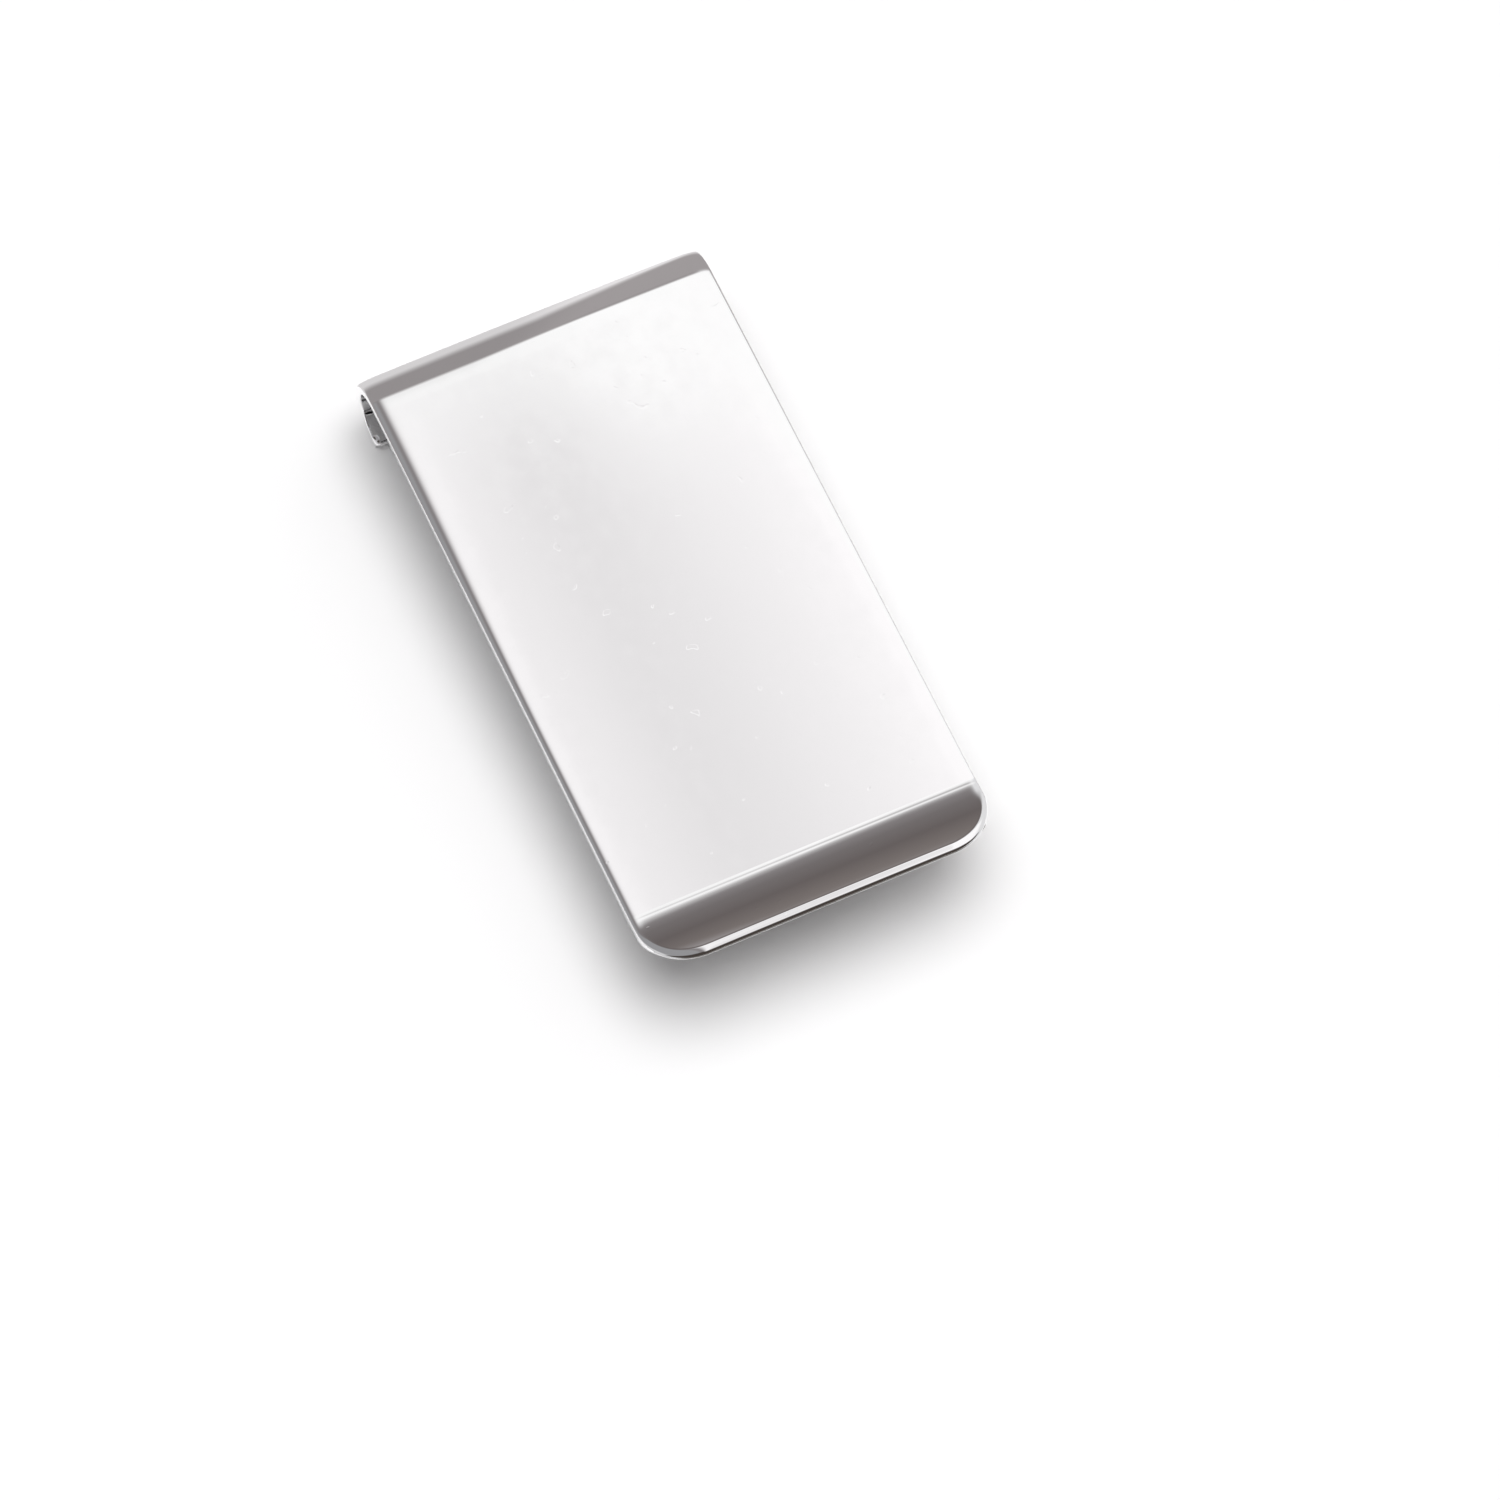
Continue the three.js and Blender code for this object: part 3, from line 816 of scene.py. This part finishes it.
CARD_LIFT = 0.05  # height of both cards where they lie on the floor
BACK_CARD_START = 27.5
BACK_CARD_Y = 38.0
BACK_CARD_TOP = 38.5
BACK_CARD_MIDDLE = 7.1  # height at which the back card is half way between its tones
BACK_CARD_BLEND = (4.5, 3.5)  # how far below and above its middle the tone changes
BACK_CARD_TILT = 0.5  # share of the distance along Y that counts as height for the tone
BACK_CARD_HALF_WIDTH = 150
FRONT_CARD_START = -27
FRONT_CARD_END = -150
FRONT_CARD_HALF_WIDTH = 60

back_tone = CardTone("back_card", (0.8, 0.785, 0.79), (0.36, 0.338, 0.341))
back_line = BACK_CARD_MIDDLE + BACK_CARD_TILT * BACK_CARD_Y
back_low, back_high = back_line - BACK_CARD_BLEND[0], back_line + BACK_CARD_BLEND[1]
back_tone.slope((0, BACK_CARD_TILT, 1), back_low, back_high, lean=(3, 14.5, 9))
back_tone.dim_left(x_low=0, x_high=8, share=0.84)
back_tone.thin_out(low=28, high=38, lean=(0.5, 8, 6))
back_profile = [(BACK_CARD_START, CARD_LIFT), (BACK_CARD_Y, CARD_LIFT), (BACK_CARD_Y, BACK_CARD_TOP)]
reflector_card("back_card", back_profile, BACK_CARD_HALF_WIDTH, back_tone.finished())

front_tone = CardTone("front_card", (0.3, 0.29, 0.28), (0.2, 0.19, 0.18))
front_tone.slope((0, 1, 0), low=-60, high=-30)
front_profile = [(FRONT_CARD_END, CARD_LIFT), (FRONT_CARD_START, CARD_LIFT)]
reflector_card("front_card", front_profile, FRONT_CARD_HALF_WIDTH, front_tone.finished())

# ---------- camera ----------

CAMERA_AZIMUTH = math.radians(-24.5)
CAMERA_ELEVATION = math.radians(63.41)
CAMERA_DISTANCE = 669.2
CAMERA_TARGET = Vector((-0.181, -12.446, 6.4))

camera_data = bpy.data.cameras.new("camera")
camera_data.sensor_width = 36
camera_data.lens = 240
camera_data.clip_start = 0.01
camera_data.clip_end = 20
camera = bpy.data.objects.new("camera", camera_data)
bpy.context.scene.collection.objects.link(camera)
camera_back = Vector(
    (
        math.sin(CAMERA_AZIMUTH) * math.cos(CAMERA_ELEVATION),
        -math.cos(CAMERA_AZIMUTH) * math.cos(CAMERA_ELEVATION),
        math.sin(CAMERA_ELEVATION),
    )
)
camera.location = CAMERA_TARGET * MM + CAMERA_DISTANCE * MM * camera_back
camera.rotation_mode = "QUATERNION"
camera.rotation_quaternion = (-camera_back).to_track_quat("-Z", "Y")
bpy.context.scene.camera = camera

# ---------- light ----------
# The studio is painted by direction. across, along and height are the parts of a direction of unit
# length. u and v say where it meets a level plane one unit up: to the right, and to the far side.
# The tones, and where they change, were set from brightness sampled in the photograph. They
# suit its camera: from any other side the mirror shows parts of the studio that nothing confirms.

HORIZON = 0.001  # least height that u and v are divided by
FACE_U = (0.137, 0.269)  # u that the camera sees in the cover's left and right edge
ROOM_TONES = [
    (0.0, (0.3, 0.275, 0.265)),
    (0.4, (0.185, 0.163, 0.156)),
    (0.57, (0.136, 0.119, 0.117)),
    (0.7, (0.17, 0.155, 0.155)),
    (0.78, (0.24, 0.225, 0.228)),
]
BOX_PLACES = (0.1, 0.225, 0.325, 0.425, 0.5, 0.6, 0.7, 0.8, 0.9)  # shares of the way across the face
BOX_TONES = (0.95, 0.94, 0.86, 0.79, 0.81, 0.86, 0.91, 0.98, 1.02)
BOX_TINT = (1, 0.985, 0.993)


class Studio(NodeGraph):
    """A world, with what it takes to paint light on it."""

    def ramp(self, value, low, high):
        """0 at low and 1 at high, with soft ends."""
        return self.between(value, low, high, interpolation="SMOOTHERSTEP")

    def both(self, first, second):
        return self.maths("MULTIPLY", first, second)

    def window(self, value, low_outer, low_inner, high_inner, high_outer):
        """1 between the two inner values, fading to 0 at the outer ones."""
        rise = self.ramp(value, low_outer, low_inner)
        fall = self.ramp(value, high_outer, high_inner)
        return self.both(rise, fall)

    def colour_ramp(self, value, stops):
        """stops are (position, colour) in rising order."""
        made = self.node("ShaderNodeValToRGB")
        elements = made.color_ramp.elements
        ends_first = [stops[0], stops[-1]] + stops[1:-1]
        for place, (position, colour) in enumerate(ends_first):
            element = elements[place] if place < 2 else elements.new(position)
            element.position = position
            element.color = (*colour, 1)
        self.links.new(value, made.inputs["Fac"])
        return made.outputs["Color"]


def studio_world():
    """An overhead softbox over a grey room, with a white backdrop for the camera alone."""
    world = bpy.data.worlds.new("studio")
    bpy.context.scene.world = world
    studio = Studio(world)
    studio.nodes.clear()
    split = studio.node("ShaderNodeSeparateXYZ")
    studio.links.new(studio.node("ShaderNodeTexCoord").outputs["Generated"], split.inputs[0])
    across, along, height = split.outputs
    up = studio.maths("MAXIMUM", height, HORIZON)
    u = studio.maths("DIVIDE", across, up)
    v = studio.maths("DIVIDE", along, up)

    # The room: grey walls, a brighter panel on either side, and the dark operator in front.
    light = studio.colour_ramp(height, ROOM_TONES)
    left_wall = studio.ramp(across, -0.05, -0.2)
    light = studio.mixed(left_wall, light, (0.3, 0.3, 0.31))
    right_panel = studio.both(studio.ramp(across, 0.22, 0.34), studio.ramp(along, 0.74, 0.6))
    light = studio.mixed(right_panel, light, (0.75, 0.75, 0.76))
    left_panel_height = studio.window(height, 0.0, 0.15, 0.35, 0.5)
    left_panel = studio.both(studio.ramp(across, -0.45, -0.8), left_panel_height)
    light = studio.mixed(left_panel, light, (0.65, 0.65, 0.66))
    operator = studio.both(studio.ramp(v, -0.5, -0.8), studio.ramp(height, 0.22, 0.38))
    light = studio.mixed(operator, light, (0.06, 0.05, 0.045))

    # The softbox: its far side is a little askew and its light varies from left to right, but not
    # in the part that is mirrored near the fold.
    askew = studio.between(u, *FACE_U, -0.05, 0.03)
    far = studio.ramp(studio.maths("ADD", v, askew), 0.86, 0.6)
    near = studio.ramp(v, -0.95, -0.65)
    sides = studio.window(u, -0.07, 0.14, 1.0, 2.2)
    box = studio.both(studio.both(far, near), sides)
    colours = [tuple(tone * part for part in BOX_TINT) for tone in BOX_TONES]
    face = studio.colour_ramp(studio.between(u, *FACE_U), list(zip(BOX_PLACES, colours)))
    near_fold = studio.ramp(v, 0.497, 0.516)
    face = studio.mixed(near_fold, face, (0.96, 0.96, 0.96))
    bright_corner = studio.both(studio.ramp(u, 0.193, 0.23), studio.ramp(v, 0.485, 0.51))
    face = studio.mixed(bright_corner, face, (1.02, 1.02, 1.02))

    seen = studio.node("ShaderNodeBackground")
    seen.inputs["Color"].default_value = (1, 1, 1, 1)
    lit = studio.node("ShaderNodeBackground")
    studio.links.new(studio.mixed(box, light, face), lit.inputs["Color"])
    path = studio.node("ShaderNodeLightPath")
    choose = studio.node("ShaderNodeMixShader")
    studio.links.new(path.outputs["Is Camera Ray"], choose.inputs["Fac"])
    studio.links.new(lit.outputs[0], choose.inputs[1])
    studio.links.new(seen.outputs[0], choose.inputs[2])
    output = studio.node("ShaderNodeOutputWorld")
    studio.links.new(choose.outputs[0], output.inputs["Surface"])


studio_world()

KEY_DIRECTION = Vector((0.08, 0.12, 1.0))  # towards the light

key_data = bpy.data.lights.new("key", "SUN")
key_data.angle = math.radians(60)
key_data.energy = 2.2
key = bpy.data.objects.new("key", key_data)
bpy.context.scene.collection.objects.link(key)
key.rotation_mode = "QUATERNION"
key.rotation_quaternion = KEY_DIRECTION.to_track_quat("Z", "Y")
key.visible_glossy = False
key.visible_camera = False

bpy.context.scene.view_settings.view_transform = "Standard"
